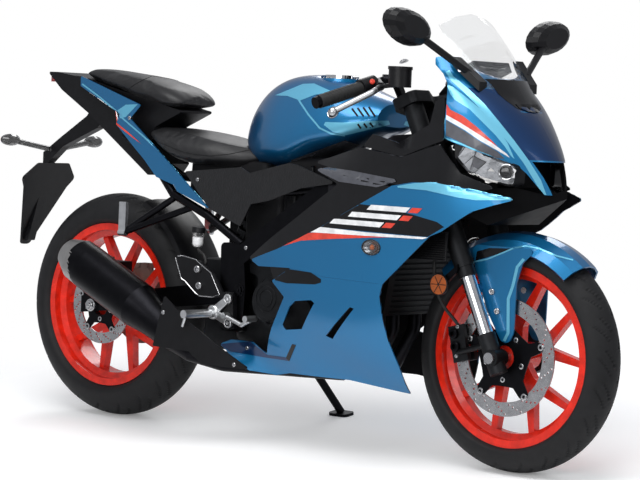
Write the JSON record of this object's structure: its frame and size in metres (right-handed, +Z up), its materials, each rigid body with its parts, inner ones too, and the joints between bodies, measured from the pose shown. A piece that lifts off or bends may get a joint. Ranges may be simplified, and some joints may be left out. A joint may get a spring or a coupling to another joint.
{
  "type": "sport motorcycle",
  "caption": "Faired sport motorcycle on its side stand, with spoked cast wheels, steering fork, stepped seat and side muffler.",
  "frame": {"origin": "centre of the bounding box's underside, on the floor the tyres and the stand rest on", "axes": "+X to the front of the machine, +Y to its left, +Z up; the machine leans 8.5 degrees to its left"},
  "size_m": [2.0798, 0.7726, 1.1834],
  "materials": {
    "blue_paint": "gloss",
    "blue_panel": "gloss",
    "black_panel": "satin",
    "black_metal": "satin",
    "black_alloy": "satin",
    "silver_alloy": "satin",
    "red_alloy": "gloss",
    "steel": "satin",
    "chrome": "polished",
    "chain_steel": "satin",
    "seat_cover": "matte",
    "rubber": "matte",
    "tyre": "matte",
    "clear_glass": "polished",
    "lamp_lens": "gloss",
    "amber_lens": "gloss"
  },
  "bodies": {
    "chassis": {"chain_guard": "black_panel", "drive_chain": "chain_steel", "engine_block": "black_alloy", "engine_covers": "black_alloy", "exhaust_cover": "black_panel", "exhaust_pipe": "black_metal", "flank_liners": "black_panel", "foot_brackets": "silver_alloy", "foot_controls": "silver_alloy", "frame": "black_metal", "front_cowl": "blue_panel", "front_indicators": "lamp_lens", "fuel_tank": "blue_paint", "headlamps": "lamp_lens", "instrument": "black_panel", "lower_cowls": "blue_panel", "mirrors": "black_panel", "muffler": "black_metal", "muffler_cap": "steel", "nose_chin": "black_panel", "passenger_seat": "seat_cover", "pillion_brackets": "black_metal", "plate_holder": "black_panel", "radiator": "black_alloy", "rear_axle": "steel", "rear_caliper": "black_alloy", "rear_lamps": "lamp_lens", "rear_shock": "black_metal", "rider_seat": "seat_cover", "side_covers": "black_panel", "side_cowls": "blue_panel", "swingarm": "black_metal", "tail_cowl": "blue_panel", "tail_underside": "black_panel", "upper_panels": "black_panel", "windscreen": "clear_glass"},
    "steering": {"fork_outer_tubes": "black_alloy", "fork_inner_tubes": "chrome", "fork_feet": "black_alloy", "triple_clamps": "black_alloy", "handlebars": "black_alloy", "grips": "rubber", "hand_controls": "black_panel", "front_fender": "blue_panel", "front_caliper": "black_alloy", "reflectors": "amber_lens", "front_axle": "steel"},
    "front_wheel": {"front_rim": "red_alloy", "front_tyre": "tyre", "front_disc": "steel"},
    "rear_wheel": {"rear_rim": "red_alloy", "rear_tyre": "tyre", "rear_disc": "steel", "rear_sprocket": "chain_steel"},
    "side_stand": {"side_stand": "black_metal"},
    "fuel_cap": {"fuel_cap": "chrome"},
    "pillion_peg_right": {"pillion_peg_right": "silver_alloy"},
    "pillion_peg_left": {"pillion_peg_left": "silver_alloy"}
  },
  "joints": [
    {"name": "steering_turn", "type": "hinge", "parent": "chassis", "child": "steering", "pos_m": [0.84196, -0.159, 0.00059], "axis": [-0.4225, 0.134, 0.8964], "range_deg": [-34, 34]},
    {"name": "front_wheel_spin", "type": "hinge", "parent": "steering", "child": "front_wheel", "pos_m": [0.74699, -0.11569, 0.29039], "axis": [0, 0.989, -0.1478], "continuous": true},
    {"name": "rear_wheel_spin", "type": "hinge", "parent": "chassis", "child": "rear_wheel", "pos_m": [-0.63301, -0.11256, 0.31132], "axis": [0, 0.989, -0.1478], "continuous": true},
    {"name": "side_stand_fold", "type": "hinge", "parent": "chassis", "child": "side_stand", "pos_m": [-0.11301, 0.01821, 0.23914], "axis": [0.0937, 0.8839, 0.4581], "range_deg": [0, 92]},
    {"name": "fuel_cap_open", "type": "hinge", "parent": "chassis", "child": "fuel_cap", "pos_m": [0.18107, -0.01475, 0.96575], "axis": [0, 0.989, -0.1478], "range_deg": [0, 95]},
    {"name": "pillion_peg_right_fold", "type": "hinge", "parent": "chassis", "child": "pillion_peg_right", "pos_m": [-0.47098, -0.255, 0.54896], "axis": [1, 0, -0.0001], "range_deg": [0, 85]},
    {"name": "pillion_peg_left_fold", "type": "hinge", "parent": "chassis", "child": "pillion_peg_left", "pos_m": [-0.47098, 0.09314, 0.49694], "axis": [-1, 0, 0.0001], "range_deg": [0, 85]}
  ]
}
